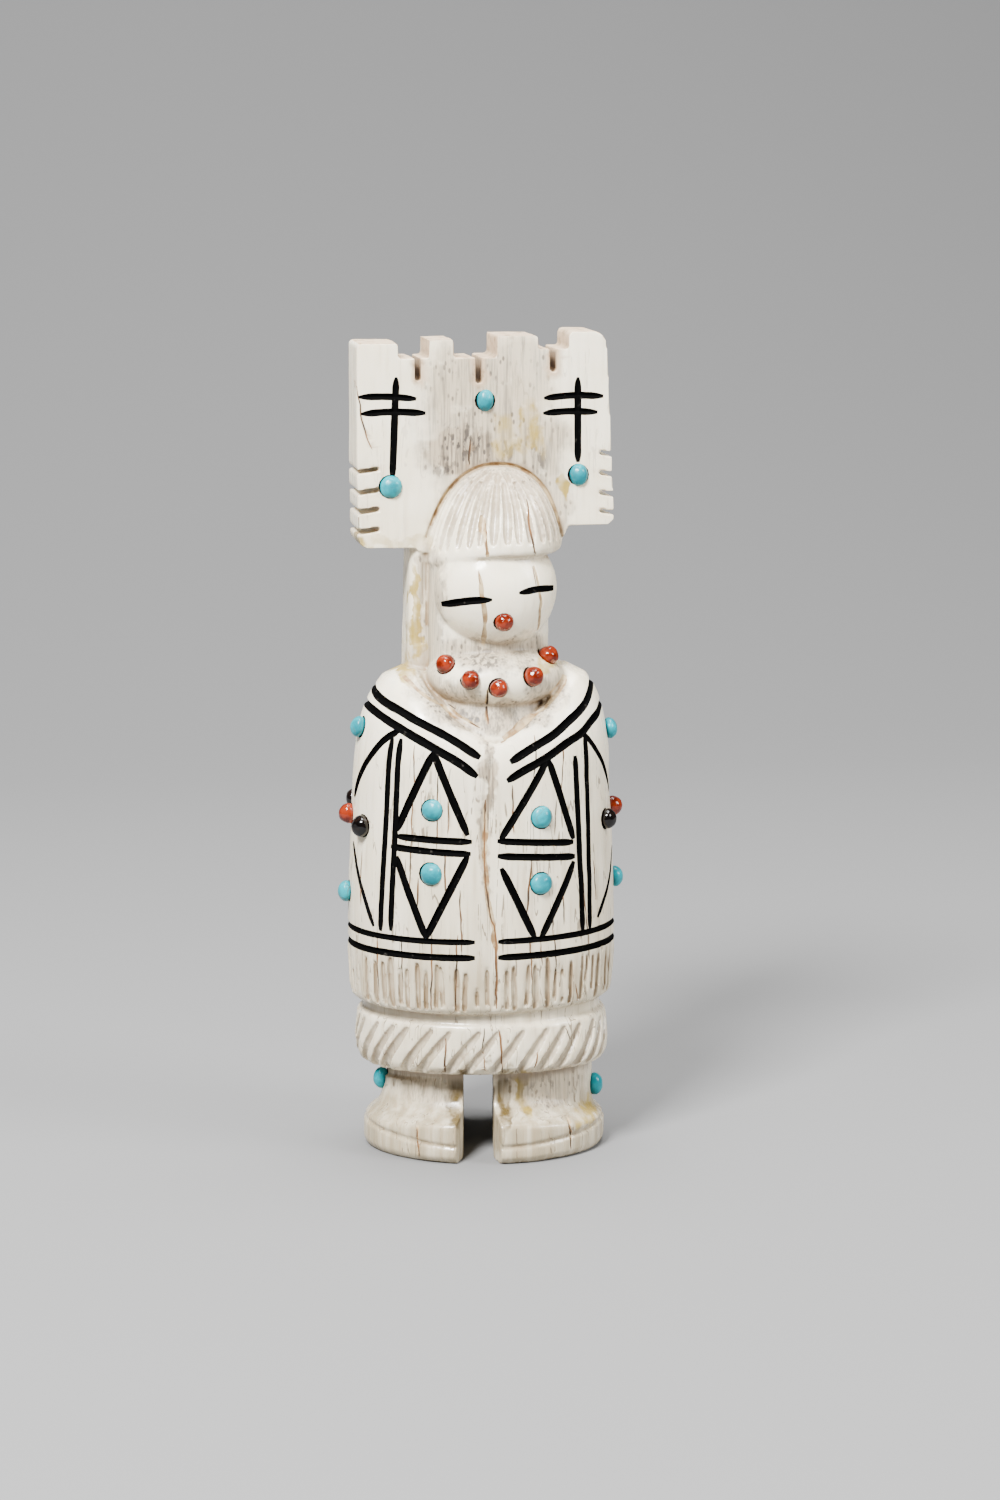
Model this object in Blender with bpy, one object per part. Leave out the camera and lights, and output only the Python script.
"""A corn maiden carved from one piece of antler and inlaid with turquoise, coral and jet.

Metres, +Z up. The figure faces -Y, and the origin is on the ground under its middle. An angle
round the body is 0 at the front and grows towards +X.
"""

import math

import bmesh
import bpy
from mathutils import Matrix, Vector

# Driving sizes
HEIGHT = 0.0985
BODY_HALF_WIDTH = 0.0158
DEPTH_TO_WIDTH = 0.78
BODY_SIDES = 48
STANCE_TURN = math.radians(-8.5)  # the skirt and legs face a little to one side of the head
HEAD_SHIFT = 0.0013  # the head sits this far to one side of the cape's middle
FIT_GAP = 0.0003  # room left round a stone in its socket

# Boots and legs, in the turned stance
SOLE_HEIGHT = 0.0026
BOOT_PROFILE = (  # height, how far in from the full outline
    (0.0, 0.0006),
    (0.0006, 0.0),
    (SOLE_HEIGHT - 0.0002, 0.0),
    (SOLE_HEIGHT, 0.0004),
    (SOLE_HEIGHT + 0.0003, 0.0),
    (0.0044, 0.0),
    (0.0054, 0.0006),
    (0.0062, 0.0024),
    (0.0072, 0.0036),
    (0.0088, 0.0044),
)
FOOT_HALF_WIDTH = 0.0147
FOOT_FRONT = 0.0124
FOOT_BACK = 0.0116
FOOT_MIDDLE = 0.0004
LEG_HALF_WIDTH = 0.0127
LEG_FRONT = 0.0088
LEG_BACK = 0.0100
LEG_MIDDLE = 0.0010
LEG_LOW = 0.0030
LEG_TOP = 0.0120
LEG_GAP = 0.0037
LEG_GAP_MIDDLE = -0.0001
LEG_GAP_FLARE = 0.0007
LEG_GAP_THROAT = 0.0095  # the gap widens from this far to the front and the back
LEG_GAP_MOUTH = 0.0140
CUT_PAST = 0.001  # how far a cutter stands out of what it cuts

# Skirt
SKIRT_PROFILE = (  # height, half width: it bulges below its middle and tucks in under its edge
    (0.0103, 0.0136),
    (0.0107, 0.0147),
    (0.0118, 0.0153),
    (0.0134, 0.0155),
    (0.0158, 0.0150),
    (0.0190, 0.0149),
)
SKIRT_CUTS = 28
SKIRT_CUT_LOW = 0.0104
SKIRT_CUT_HIGH = 0.0150
SKIRT_CUT_LEAN = math.radians(17)
SKIRT_CUT_WIDTH = 0.0006
SKIRT_CUT_DEPTH = 0.0006

# Cape
CAPE_PROFILE = (  # height, half width: it rounds under at the hem and narrows towards the shoulders
    (0.0180, 0.0148),
    (0.0184, 0.0155),
    (0.0194, 0.0160),
    (0.0240, 0.0163),
    (0.0340, 0.0161),
    (0.0400, BODY_HALF_WIDTH),
    (0.0460, 0.0155),
)
FRINGE_TOP = 0.0240
FRINGE_BOTTOM = 0.0187
FRINGE_CUTS = 44
FRINGE_WIDTH = 0.0004
FRINGE_DEPTH = 0.0004
NECK_V_HEIGHT = 0.0512
SHOULDER_HEIGHT = 0.0588
NECK_V_SPREAD = math.radians(60)  # how far round the V reaches to each side
COLLAR_ROLL = 0.0030  # height over which the collar rounds in at the V
SHOULDER_ROLL = 0.0065  # the same over the shoulders
COLLAR_INSET = 0.0030
SHOULDER_INSET = 0.0055
ROLL_STEPS = 6
NECK_EDGE_SHARE = 0.92  # the last ring of the neck edge is this share of the one before
NECK_EDGE_DROP = 0.0012
OPENING_ANGLE = math.radians(-2.5)
OPENING_DEPTH = 0.0004
OPENING_HEIGHTS = (0.0184, 0.0240, 0.0340, 0.0400)
OPENING_TOP = 0.0482
GROOVE_TIP = 0.1  # how much of a groove's size is left at its pointed end
GROOVE_RISE = 2.5  # a groove's cutter stands this many depths above the surface

# Neck, head and hair
NECK_CENTRE = Vector((HEAD_SHIFT, -0.0024, 0.0579))
NECK_RADII = (0.0082, 0.0070, 0.0050)
HEAD_CENTRE = Vector((HEAD_SHIFT, -0.0030, 0.0684))
HEAD_RADII = (0.0071, 0.0066, 0.0072)
HAIR_BOTTOM = 0.0724
HAIR_TOP = 0.0825
HAIR_HALF_WIDTH = 0.0083
HAIR_FRONT = 0.0100
HAIR_BACK = 0.0025
HAIR_FULL = 0.0010  # the dome is widest this far over its lower edge
HAIR_EDGE = 0.0008  # height of the rounding of that edge
HAIR_EDGE_SHARE = 0.88
HAIR_STEPS = 7
HAIR_SIDES = 36
HAIR_CUTS = 13
HAIR_CUT_PATH = (  # height, share of the angle kept towards the crown, how far the dome faces up
    (0.0815, 0.80, 0.9),
    (0.0790, 0.92, 0.5),
    (0.0760, 0.98, 0.2),
    (0.0734, 1.0, 0.0),
)
HAIR_FAN = math.radians(76)
HAIR_CUT_WIDTH = 0.0005
HAIR_CUT_DEPTH = 0.0005
NAPE_MIDDLE = -0.0009
NAPE_HALF_WIDTH = 0.0079
NAPE_SIDES = 24
NAPE_ROUNDNESS = 0.5  # 1 is an oval, 0 a square
NAPE_FRONT = 0.0018
NAPE_BACK = 0.0088
NAPE_LOW = 0.0550
NAPE_HIGH = 0.0740

# Tablita, the stepped board above the head
BOARD_FRONT = 0.0008
BOARD_BACK = 0.0092
BOARD_LEFT = -0.0147
BOARD_RIGHT = 0.0164
BOARD_LOW = 0.0729
BOARD_LOW_RIGHT = 0.0753
BOARD_ROOT_LEFT = -0.0088
BOARD_ROOT_RIGHT = 0.0098
BOARD_ROOT_LOW = 0.0708
BOARD_SHOULDER = 0.0860  # over this the right side leans in to the block
BOARD_CORNER = 0.0014
BOARD_CORNER_RIGHT = 0.0010
BOARD_ROOT_CORNER = 0.0012
LEFT_STEP = 0.0955
RIGHT_STEP = 0.0964
BLOCK_TOPS = (0.0973, 0.0976, 0.0980, HEIGHT)
LEFT_NOTCHES = (0.0750, 0.0774, 0.0797, 0.0822)
RIGHT_NOTCHES = (0.0838, 0.0814, 0.0790, 0.0768)
LEFT_NOTCH_REACH = 0.0027
RIGHT_NOTCH_REACH = 0.0019
SLOT_WIDTH = 0.00075
NOTCH_HEIGHT = 0.0006
NOTCH_DROP = 0.0004  # the blind end of a notch is this much lower than its mouth
ARC_STEPS = 3

# Stones
STONE_SIDES = 9
STONE_SINK = 0.0008
STONE_LINE = 0.04  # how far out the line starts that finds a stone's place
SOCKET_TOP = 0.002  # how far a socket's cutter stands out of the carving
FRONT_STONES = (  # name, x, z, half width, half height, proud
    ("turquoise_tablita_left", -0.0108, 0.0803, 0.00135, 0.00135, 0.0008),
    ("turquoise_tablita_centre", 0.0006, 0.0904, 0.00105, 0.00132, 0.0008),
    ("turquoise_tablita_right", 0.0119, 0.0814, 0.00115, 0.00134, 0.0008),
    ("coral_mouth", 0.0013, 0.0651, 0.00112, 0.00112, 0.0009),
    ("coral_necklace_1", -0.0052, 0.0598, 0.00114, 0.00114, 0.0010),
    ("coral_necklace_2", -0.0026, 0.0583, 0.00114, 0.00114, 0.0010),
    ("coral_necklace_3", 0.0006, 0.05745, 0.00112, 0.00112, 0.0010),
    ("coral_necklace_4", 0.0047, 0.0585, 0.00118, 0.00118, 0.0010),
    ("coral_necklace_5", 0.0074, 0.0606, 0.00114, 0.00114, 0.0010),
)
WALL_STONES = (  # name, degrees round the body, z, half width, half height, proud
    ("turquoise_cape_left_upper", -28.9, 0.0432, 0.00128, 0.00128, 0.0009),
    ("turquoise_cape_left_lower", -29.3, 0.0356, 0.00134, 0.00134, 0.0009),
    ("turquoise_cape_right_upper", 20.3, 0.0421, 0.00134, 0.00134, 0.0009),
    ("turquoise_cape_right_lower", 19.5, 0.0342, 0.00132, 0.00128, 0.0009),
    ("turquoise_side_left_upper", -84, 0.0520, 0.00120, 0.00126, 0.0012),
    ("turquoise_side_left_lower", -90, 0.0316, 0.00125, 0.00128, 0.0014),
    ("turquoise_side_right_upper", 85, 0.0508, 0.00120, 0.00126, 0.0012),
    ("turquoise_side_right_lower", 88, 0.0324, 0.00125, 0.00125, 0.0014),
    ("coral_side_left", -92, 0.0410, 0.00122, 0.00122, 0.0015),
    ("coral_side_right", 89, 0.0411, 0.00120, 0.00120, 0.0014),
    ("jet_left_front", -70.5, 0.0403, 0.00122, 0.00132, 0.0014),
    ("jet_left_back", -113, 0.0420, 0.00120, 0.00125, 0.0013),
    ("jet_right_front", 64.5, 0.0405, 0.00120, 0.00122, 0.0014),
    ("jet_right_back", 110, 0.0418, 0.00120, 0.00125, 0.0013),
    ("turquoise_boot_left", -99, 0.0078, 0.00100, 0.00134, 0.0012),
    ("turquoise_boot_right", 76, 0.0069, 0.00102, 0.00136, 0.0012),
)


def make_material(name, colour, roughness):
    """A plain finish of one colour."""
    material = bpy.data.materials.new(name)
    material.use_nodes = True
    shader = material.node_tree.nodes["Principled BSDF"]
    shader.inputs["Base Color"].default_value = (*colour, 1.0)
    shader.inputs["Roughness"].default_value = roughness
    shader.inputs["Metallic"].default_value = 0.0
    material.diffuse_color = (*colour, 1.0)
    return material


def add_object(name, bm, material=None, helper=True):
    """An object from a bmesh. A helper is only joined to, or cut from, the carving."""
    bmesh.ops.recalc_face_normals(bm, faces=bm.faces)
    mesh = bpy.data.meshes.new(name)
    bm.to_mesh(mesh)
    bm.free()
    body = bpy.data.objects.new(name, mesh)
    bpy.context.scene.collection.objects.link(body)
    if material:
        mesh.materials.append(material)
    if helper:
        body.hide_render = True
        body.display_type = "WIRE"
    return body


def loft(rings):
    """A closed body through rings of as many points each, with a fan over each end."""
    bm = bmesh.new()
    rows = [[bm.verts.new(point) for point in ring] for ring in rings]
    for low, high in zip(rows, rows[1:]):
        for i in range(len(low)):
            bm.faces.new((low[i - 1], low[i], high[i], high[i - 1]))
    for row in (rows[0], rows[-1]):
        middle = sum((vert.co for vert in row), Vector()) / len(row)
        tip = bm.verts.new(middle)
        for i in range(len(row)):
            bm.faces.new((row[i - 1], row[i], tip))
    return bm


def extruded(outline, axis_low, axis_high, to_3d):
    """A closed prism over an outline of 2-D points."""
    bm = bmesh.new()
    ends = [
        [bm.verts.new(to_3d(point, level)) for point in outline]
        for level in (axis_low, axis_high)
    ]
    for i in range(len(outline)):
        bm.faces.new((ends[0][i - 1], ends[0][i], ends[1][i], ends[1][i - 1]))
    for end in ends:
        bm.faces.new(end)
    return bm


def angles(count=BODY_SIDES):
    """Angles round the body, the first of them at the back."""
    return [-math.pi + 2 * math.pi * i / count for i in range(count)]


def oval(angle, half_width, front, back, middle=0.0):
    """A point of an oval whose front and back halves may differ in depth, as (x, y)."""
    depth = front if abs(angle) < math.pi / 2 else back
    return middle + half_width * math.sin(angle), -depth * math.cos(angle)


def turned(bm):
    """The same bmesh turned to the stance."""
    bmesh.ops.rotate(bm, verts=bm.verts, cent=(0, 0, 0), matrix=Matrix.Rotation(STANCE_TURN, 3, "Z"))
    return bm


def boots():
    """Both boots as one oval block: a sole, a groove over it, and an instep that slopes up to the leg."""
    rings = []
    for height, inset in BOOT_PROFILE:
        ring = []
        for angle in angles():
            x, y = oval(
                angle, FOOT_HALF_WIDTH - inset, FOOT_FRONT - inset, FOOT_BACK - inset, FOOT_MIDDLE
            )
            ring.append((x, y, height))
        rings.append(ring)
    return turned(loft(rings))


def legs():
    """Both legs as one oval column, up into the skirt."""
    rings = []
    for height in (LEG_LOW, LEG_TOP):
        ring = []
        for angle in angles():
            x, y = oval(angle, LEG_HALF_WIDTH, LEG_FRONT, LEG_BACK, LEG_MIDDLE)
            ring.append((x, y, height))
        rings.append(ring)
    return turned(loft(rings))


def leg_gap():
    """The slot between the legs, wider where it comes out at the front and the back."""
    half = LEG_GAP / 2
    wide = half + LEG_GAP_FLARE
    outline = []
    for side, ends in ((-1, (-1, 1)), (1, (1, -1))):
        for end in ends:
            mouth = (LEG_GAP_MIDDLE + side * wide, end * LEG_GAP_MOUTH)
            throat = (LEG_GAP_MIDDLE + side * half, end * LEG_GAP_THROAT)
            outline += [mouth, throat] if end == ends[0] else [throat, mouth]
    bm = extruded(outline, -CUT_PAST, LEG_TOP + CUT_PAST, lambda point, z: (*point, z))
    return turned(bm)


def between(profile, height):
    """Reads a profile of (height, size) pairs at any height, straight between its points."""
    for (low, low_size), (high, high_size) in zip(profile, profile[1:]):
        if low <= height <= high:
            return low_size + (high_size - low_size) * (height - low) / (high - low)
    return profile[-1][1]


def wall_rings(profile):
    """Oval rings at each height of a profile."""
    rings = []
    for height, half_width in profile:
        depth = half_width * DEPTH_TO_WIDTH
        rings.append([(*oval(angle, half_width, depth, depth), height) for angle in angles()])
    return rings


def skirt():
    """A band that shows below the cape."""
    return turned(loft(wall_rings(SKIRT_PROFILE)))


def neckline(angle):
    """How high the cape's neck edge is, and how much of the shoulder there is, at an angle."""
    rise = min(abs(angle) / NECK_V_SPREAD, 1.0)
    return NECK_V_HEIGHT + (SHOULDER_HEIGHT - NECK_V_HEIGHT) * rise, rise


def cape_ring(place):
    """One ring of the cape's rolled top, from place 0 where it leaves the wall to 1 at the neck edge."""
    ring = []
    for angle in angles():
        edge, rise = neckline(angle)
        roll = COLLAR_ROLL + (SHOULDER_ROLL - COLLAR_ROLL) * rise
        inset = COLLAR_INSET + (SHOULDER_INSET - COLLAR_INSET) * rise
        drawn_in = inset * (1 - math.sqrt(1 - place * place))
        full = CAPE_PROFILE[-1][1]
        half_width = full - drawn_in
        depth = full * DEPTH_TO_WIDTH - drawn_in
        ring.append((*oval(angle, half_width, depth, depth), edge - roll * (1 - place)))
    return ring


def cape():
    """The cape and its shoulders, with the neck edge turned in."""
    rings = wall_rings(CAPE_PROFILE)
    rings += [cape_ring(step / ROLL_STEPS) for step in range(ROLL_STEPS + 1)]
    inside = []
    for x, y, z in rings[-1]:
        inside.append((x * NECK_EDGE_SHARE, y * NECK_EDGE_SHARE, z - NECK_EDGE_DROP))
    rings.append(inside)
    return loft(rings)


def nape():
    """The long hair behind the head, a slab that joins the board to the cape."""
    rings = []
    for height in (NAPE_LOW, NAPE_HIGH):
        ring = []
        for angle in angles(NAPE_SIDES):
            across = math.copysign(abs(math.sin(angle)) ** NAPE_ROUNDNESS, math.sin(angle))
            along = math.copysign(abs(math.cos(angle)) ** NAPE_ROUNDNESS, -math.cos(angle))
            middle = (NAPE_FRONT + NAPE_BACK) / 2
            half_depth = (NAPE_BACK - NAPE_FRONT) / 2
            ring.append((NAPE_MIDDLE + NAPE_HALF_WIDTH * across, middle + half_depth * along, height))
        rings.append(ring)
    return loft(rings)


def ellipsoid(centre, radii, sides=24, rings=12):
    bm = bmesh.new()
    place = Matrix.Translation(centre) @ Matrix.Diagonal((*radii, 1.0))
    bmesh.ops.create_uvsphere(bm, u_segments=sides, v_segments=rings, radius=1.0, matrix=place)
    return bm


def hair_point(angle, height):
    """A point on the fringe of hair, a dome that is flat behind."""
    full = HAIR_BOTTOM + HAIR_FULL
    up = max((height - full) / (HAIR_TOP - full), 0.0)
    size = math.sqrt(max(1 - up * up, 0.0))
    x = HEAD_SHIFT + HAIR_HALF_WIDTH * size * math.sin(angle)
    y = HAIR_BACK - (HAIR_FRONT + HAIR_BACK) * size * math.cos(angle)
    return x, min(y, HAIR_BACK), height


def hair():
    """The fringe of hair over the brow, with its lower edge rounded under."""
    edge = []
    for angle in angles(HAIR_SIDES):
        x, y, z = hair_point(angle, HAIR_BOTTOM)
        edge.append((HEAD_SHIFT + (x - HEAD_SHIFT) * HAIR_EDGE_SHARE, y * HAIR_EDGE_SHARE, z))
    rings = [edge]
    low = HAIR_BOTTOM + HAIR_EDGE
    for step in range(HAIR_STEPS):
        height = low + (HAIR_TOP - low) * math.sin(math.pi / 2 * step / HAIR_STEPS)
        rings.append([hair_point(angle, height) for angle in angles(HAIR_SIDES)])
    return loft(rings)


def rounded(corners):
    """An outline through corners of (x, z, radius), with an arc where the radius isn't 0."""
    outline = []
    for i, (x, z, radius) in enumerate(corners):
        corner = Vector((x, z))
        if not radius:
            outline.append(corner)
            continue
        before = (Vector(corners[i - 1][:2]) - corner).normalized()
        after = (Vector(corners[(i + 1) % len(corners)][:2]) - corner).normalized()
        opening = before.angle(after)
        centre = corner + (before + after).normalized() * radius / math.sin(opening / 2)
        first = corner + before * radius / math.tan(opening / 2)
        last = corner + after * radius / math.tan(opening / 2)
        sweep = (first - centre).angle_signed(last - centre)
        for step in range(ARC_STEPS + 1):
            arm = first - centre
            arm.rotate(Matrix.Rotation(-sweep * step / ARC_STEPS, 2))
            outline.append(centre + arm)
    return outline


def slot(middle, floor, bottom):
    """A saw slot down from a step of the board."""
    half = SLOT_WIDTH / 2
    return [
        (middle - half, floor, 0),
        (middle - half, bottom, 0),
        (middle + half, bottom, 0),
        (middle + half, floor, 0),
    ]


def notches(heights, edge, depth, downward):
    """Saw cuts into a side of the board, in the order in which the outline meets them."""
    corners = []
    for height in heights:
        ends = [
            (edge, height + NOTCH_HEIGHT / 2, 0),
            (edge + depth, height + NOTCH_HEIGHT / 2 - NOTCH_DROP, 0),
            (edge + depth, height - NOTCH_HEIGHT / 2 - NOTCH_DROP, 0),
            (edge, height - NOTCH_HEIGHT / 2, 0),
        ]
        corners += ends if downward else ends[::-1]
    return corners


def board():
    """The tablita: four blocks along the top, a slot between each two, and notched sides."""
    first, second, third, fourth = BLOCK_TOPS
    corners = [(BOARD_LEFT, first, 0.0006), (-0.0097, first, 0.0003), (-0.0096, LEFT_STEP, 0)]
    corners += slot(-0.0074, LEFT_STEP, 0.0928)
    corners += [(-0.0060, LEFT_STEP, 0), (-0.0060, second, 0)]
    corners += [(-0.0031, second, 0), (-0.0030, LEFT_STEP, 0)]
    corners += slot(-0.0001, LEFT_STEP, 0.0924)
    corners += [(0.0020, LEFT_STEP, 0), (0.0021, third, 0.0003)]
    corners += [(0.0070, third, 0.0003), (0.0072, RIGHT_STEP, 0)]
    corners += slot(0.0089, RIGHT_STEP, 0.0937)
    corners += [(0.0108, RIGHT_STEP, 0), (0.0108, fourth, 0.0005), (0.0152, fourth, 0.0016)]
    corners += [(BOARD_RIGHT, BOARD_SHOULDER, 0)]
    corners += notches(RIGHT_NOTCHES, BOARD_RIGHT, -RIGHT_NOTCH_REACH, True)
    corners += [(BOARD_RIGHT, BOARD_LOW_RIGHT, BOARD_CORNER_RIGHT)]
    corners += [(BOARD_ROOT_RIGHT, BOARD_LOW_RIGHT, 0.0008)]
    corners += [(BOARD_ROOT_RIGHT, BOARD_ROOT_LOW, BOARD_ROOT_CORNER)]
    corners += [(BOARD_ROOT_LEFT, BOARD_ROOT_LOW, BOARD_ROOT_CORNER), (BOARD_ROOT_LEFT, BOARD_LOW, 0)]
    corners += [(BOARD_LEFT, BOARD_LOW, BOARD_CORNER)]
    corners += notches(LEFT_NOTCHES, BOARD_LEFT, LEFT_NOTCH_REACH, False)
    outline = rounded(corners)
    return extruded(outline, BOARD_FRONT, BOARD_BACK, lambda point, y: (point[0], y, point[1]))


def groove(bm, path, half_width, depth, blunt_start=False):
    """Adds a cutter for a V groove along a path of (point, outward), pointed at its ends."""
    rise = depth * GROOVE_RISE
    reach = half_width * (1 + GROOVE_RISE)
    rows = []
    for i, (point, outward) in enumerate(path):
        point, outward = Vector(point), Vector(outward).normalized()
        before = Vector(path[max(i - 1, 0)][0])
        after = Vector(path[min(i + 1, len(path) - 1)][0])
        across = (after - before).normalized().cross(outward).normalized()
        end = i in (0, len(path) - 1) and not (i == 0 and blunt_start)
        size = GROOVE_TIP if end else 1.0
        rows.append(
            [
                bm.verts.new(point - outward * depth * size),
                bm.verts.new(point + (across * reach + outward * rise) * size),
                bm.verts.new(point + (outward * rise - across * reach) * size),
            ]
        )
    for low, high in zip(rows, rows[1:]):
        for i in range(3):
            bm.faces.new((low[i - 1], low[i], high[i], high[i - 1]))
    bm.faces.new(rows[0])
    bm.faces.new(rows[-1])


def wall_point(angle, half_width, height):
    """A point on the wall of the cape or the skirt, and which way the wall faces there."""
    x, y = oval(angle, half_width, half_width * DEPTH_TO_WIDTH, half_width * DEPTH_TO_WIDTH)
    return (x, y, height), (math.sin(angle) * DEPTH_TO_WIDTH, -math.cos(angle), 0)


def hair_cuts():
    """Grooves that fan out from the crown to the lower edge of the hair."""
    bm = bmesh.new()
    for i in range(HAIR_CUTS):
        angle = HAIR_FAN * (2 * i / (HAIR_CUTS - 1) - 1)
        path = []
        for height, gather, lift in HAIR_CUT_PATH:
            outward = (math.sin(angle * gather), -math.cos(angle * gather), lift)
            path.append((hair_point(angle * gather, height), outward))
        groove(bm, path, HAIR_CUT_WIDTH, HAIR_CUT_DEPTH)
    return bm


def skirt_cuts():
    """Slanting grooves all round the lower half of the skirt, deepest at its lower edge."""
    bm = bmesh.new()
    for i in range(SKIRT_CUTS):
        angle = 2 * math.pi * i / SKIRT_CUTS
        path = []
        for step in (0, 0.5, 1):
            height = SKIRT_CUT_LOW + (SKIRT_CUT_HIGH - SKIRT_CUT_LOW) * step
            path.append(wall_point(angle + SKIRT_CUT_LEAN * step, between(SKIRT_PROFILE, height), height))
        groove(bm, path, SKIRT_CUT_WIDTH, SKIRT_CUT_DEPTH, blunt_start=True)
    return turned(bm)


def fringe_cuts():
    """Upright grooves all round the cape above its hem."""
    bm = bmesh.new()
    for i in range(FRINGE_CUTS):
        angle = 2 * math.pi * (i + 0.5) / FRINGE_CUTS
        path = []
        for height in (FRINGE_BOTTOM, FRINGE_TOP):
            path.append(wall_point(angle, between(CAPE_PROFILE, height), height))
        groove(bm, path, FRINGE_WIDTH, FRINGE_DEPTH)
    return bm


def opening_cut():
    """The line where the two edges of the cape meet, from the V to the hem."""
    bm = bmesh.new()
    path = [wall_point(OPENING_ANGLE, between(CAPE_PROFILE, z), z) for z in OPENING_HEIGHTS]
    path.append(wall_point(OPENING_ANGLE, CAPE_PROFILE[-1][1], OPENING_TOP))
    groove(bm, path, OPENING_DEPTH, OPENING_DEPTH, blunt_start=True)
    return bm


def modify(body, other, operation):
    modifier = body.modifiers.new(other.name, "BOOLEAN")
    modifier.operation = operation
    modifier.solver = "EXACT"
    modifier.use_self = operation == "DIFFERENCE"
    modifier.object = other


def surface(body, graph, start, towards):
    """Where a straight line first meets a body, and which way the body faces there."""
    found, place, normal, _ = body.ray_cast(
        start, (towards - start).normalized(), depsgraph=graph
    )
    if not found:
        raise ValueError("a stone misses the carving")
    return place, normal


def stone_frame(place, normal, upright=Vector((0, 0, 1))):
    """A matrix whose Z axis points out of the surface and whose Y axis points up."""
    outward = normal.normalized()
    across = upright.cross(outward).normalized()
    up = outward.cross(across)
    turn = Matrix((across, up, outward)).transposed().to_4x4()
    return Matrix.Translation(place) @ turn


def stone(name, frame, half_width, half_height, proud, material):
    """A domed stone, flat below, that sits in its socket with a gap all round."""
    bm = bmesh.new()
    base = [
        (half_width * math.cos(turn), half_height * math.sin(turn))
        for turn in (2 * math.pi * i / STONE_SIDES for i in range(STONE_SIDES))
    ]
    profile = ((-STONE_SINK, 0.92), (proud * 0.1, 1.0), (proud * 0.7, 0.76))
    rings = [[bm.verts.new(frame @ Vector((x * k, y * k, z))) for x, y in base] for z, k in profile]
    for low, high in zip(rings, rings[1:]):
        for i in range(STONE_SIDES):
            bm.faces.new((low[i - 1], low[i], high[i], high[i - 1]))
    bm.faces.new(rings[0])
    tip = bm.verts.new(frame @ Vector((0, 0, proud)))
    for i in range(STONE_SIDES):
        bm.faces.new((rings[-1][i - 1], rings[-1][i], tip))
    return add_object(name, bm, material, helper=False)


def add_socket(bm, frame, half_width, half_height):
    """Adds the cutter for a stone's socket."""
    outline = [
        ((half_width + FIT_GAP) * math.cos(turn), (half_height + FIT_GAP) * math.sin(turn))
        for turn in (2 * math.pi * i / STONE_SIDES for i in range(STONE_SIDES))
    ]
    ends = [
        [bm.verts.new(frame @ Vector((x, y, z))) for x, y in outline]
        for z in (-STONE_SINK - FIT_GAP, SOCKET_TOP)
    ]
    for i in range(STONE_SIDES):
        bm.faces.new((ends[0][i - 1], ends[0][i], ends[1][i], ends[1][i - 1]))
    for end in ends:
        bm.faces.new(end)


def front_line(x, z):
    """A line straight back, as its start and a point further along it."""
    return Vector((x, -STONE_LINE, z)), Vector((x, 0, z))


def wall_line(degrees, z):
    """A level line in to the wall of the cape, at an angle round the body."""
    x, y = oval(math.radians(degrees), 1.0, 1.0, 1.0)
    out = Vector((x * DEPTH_TO_WIDTH, y, 0)).normalized()
    on = Vector((BODY_HALF_WIDTH * x, BODY_HALF_WIDTH * DEPTH_TO_WIDTH * y, z))
    return on + out * STONE_LINE, on


for old in list(bpy.data.objects):
    bpy.data.objects.remove(old, do_unlink=True)

finishes = {
    "antler": make_material("antler", (0.83, 0.78, 0.69), 0.35),
    "turquoise": make_material("turquoise", (0.16, 0.60, 0.62), 0.25),
    "coral": make_material("coral", (0.58, 0.09, 0.04), 0.25),
    "jet": make_material("jet", (0.02, 0.018, 0.016), 0.2),
}

carving = add_object("antler_carving", cape(), finishes["antler"], helper=False)
lower = add_object("legs", legs())
modify(lower, add_object("boots", boots()), "UNION")
modify(lower, add_object("leg_gap", leg_gap()), "DIFFERENCE")
additions = (
    ("skirt", skirt()),
    ("neck", ellipsoid(NECK_CENTRE, NECK_RADII)),
    ("head", ellipsoid(HEAD_CENTRE, HEAD_RADII)),
    ("nape", nape()),
    ("board", board()),
    ("hair", hair()),
)
for label, form in additions:
    modify(carving, add_object(label, form), "UNION")
modify(carving, lower, "UNION")
cuts = (
    ("hair_cuts", hair_cuts()),
    ("skirt_cuts", skirt_cuts()),
    ("fringe_cuts", fringe_cuts()),
    ("opening_cut", opening_cut()),
)
for label, form in cuts:
    modify(carving, add_object(label, form), "DIFFERENCE")

bpy.context.view_layer.update()
depsgraph = bpy.context.evaluated_depsgraph_get()
sockets = bmesh.new()
settings = []
for find, stones in ((front_line, FRONT_STONES), (wall_line, WALL_STONES)):
    for name, across, z, half_width, half_height, proud in stones:
        start, towards = find(across, z)
        place, normal = surface(carving, depsgraph, start, towards)
        level = (start - towards).normalized()
        frame = stone_frame(place, (normal + level) / 2)
        kind = name.split("_")[0]
        settings.append((name, frame, half_width, half_height, proud, finishes[kind]))
        add_socket(sockets, frame, half_width, half_height)
for setting in settings:
    stone(*setting)
modify(carving, add_object("sockets", sockets), "DIFFERENCE")
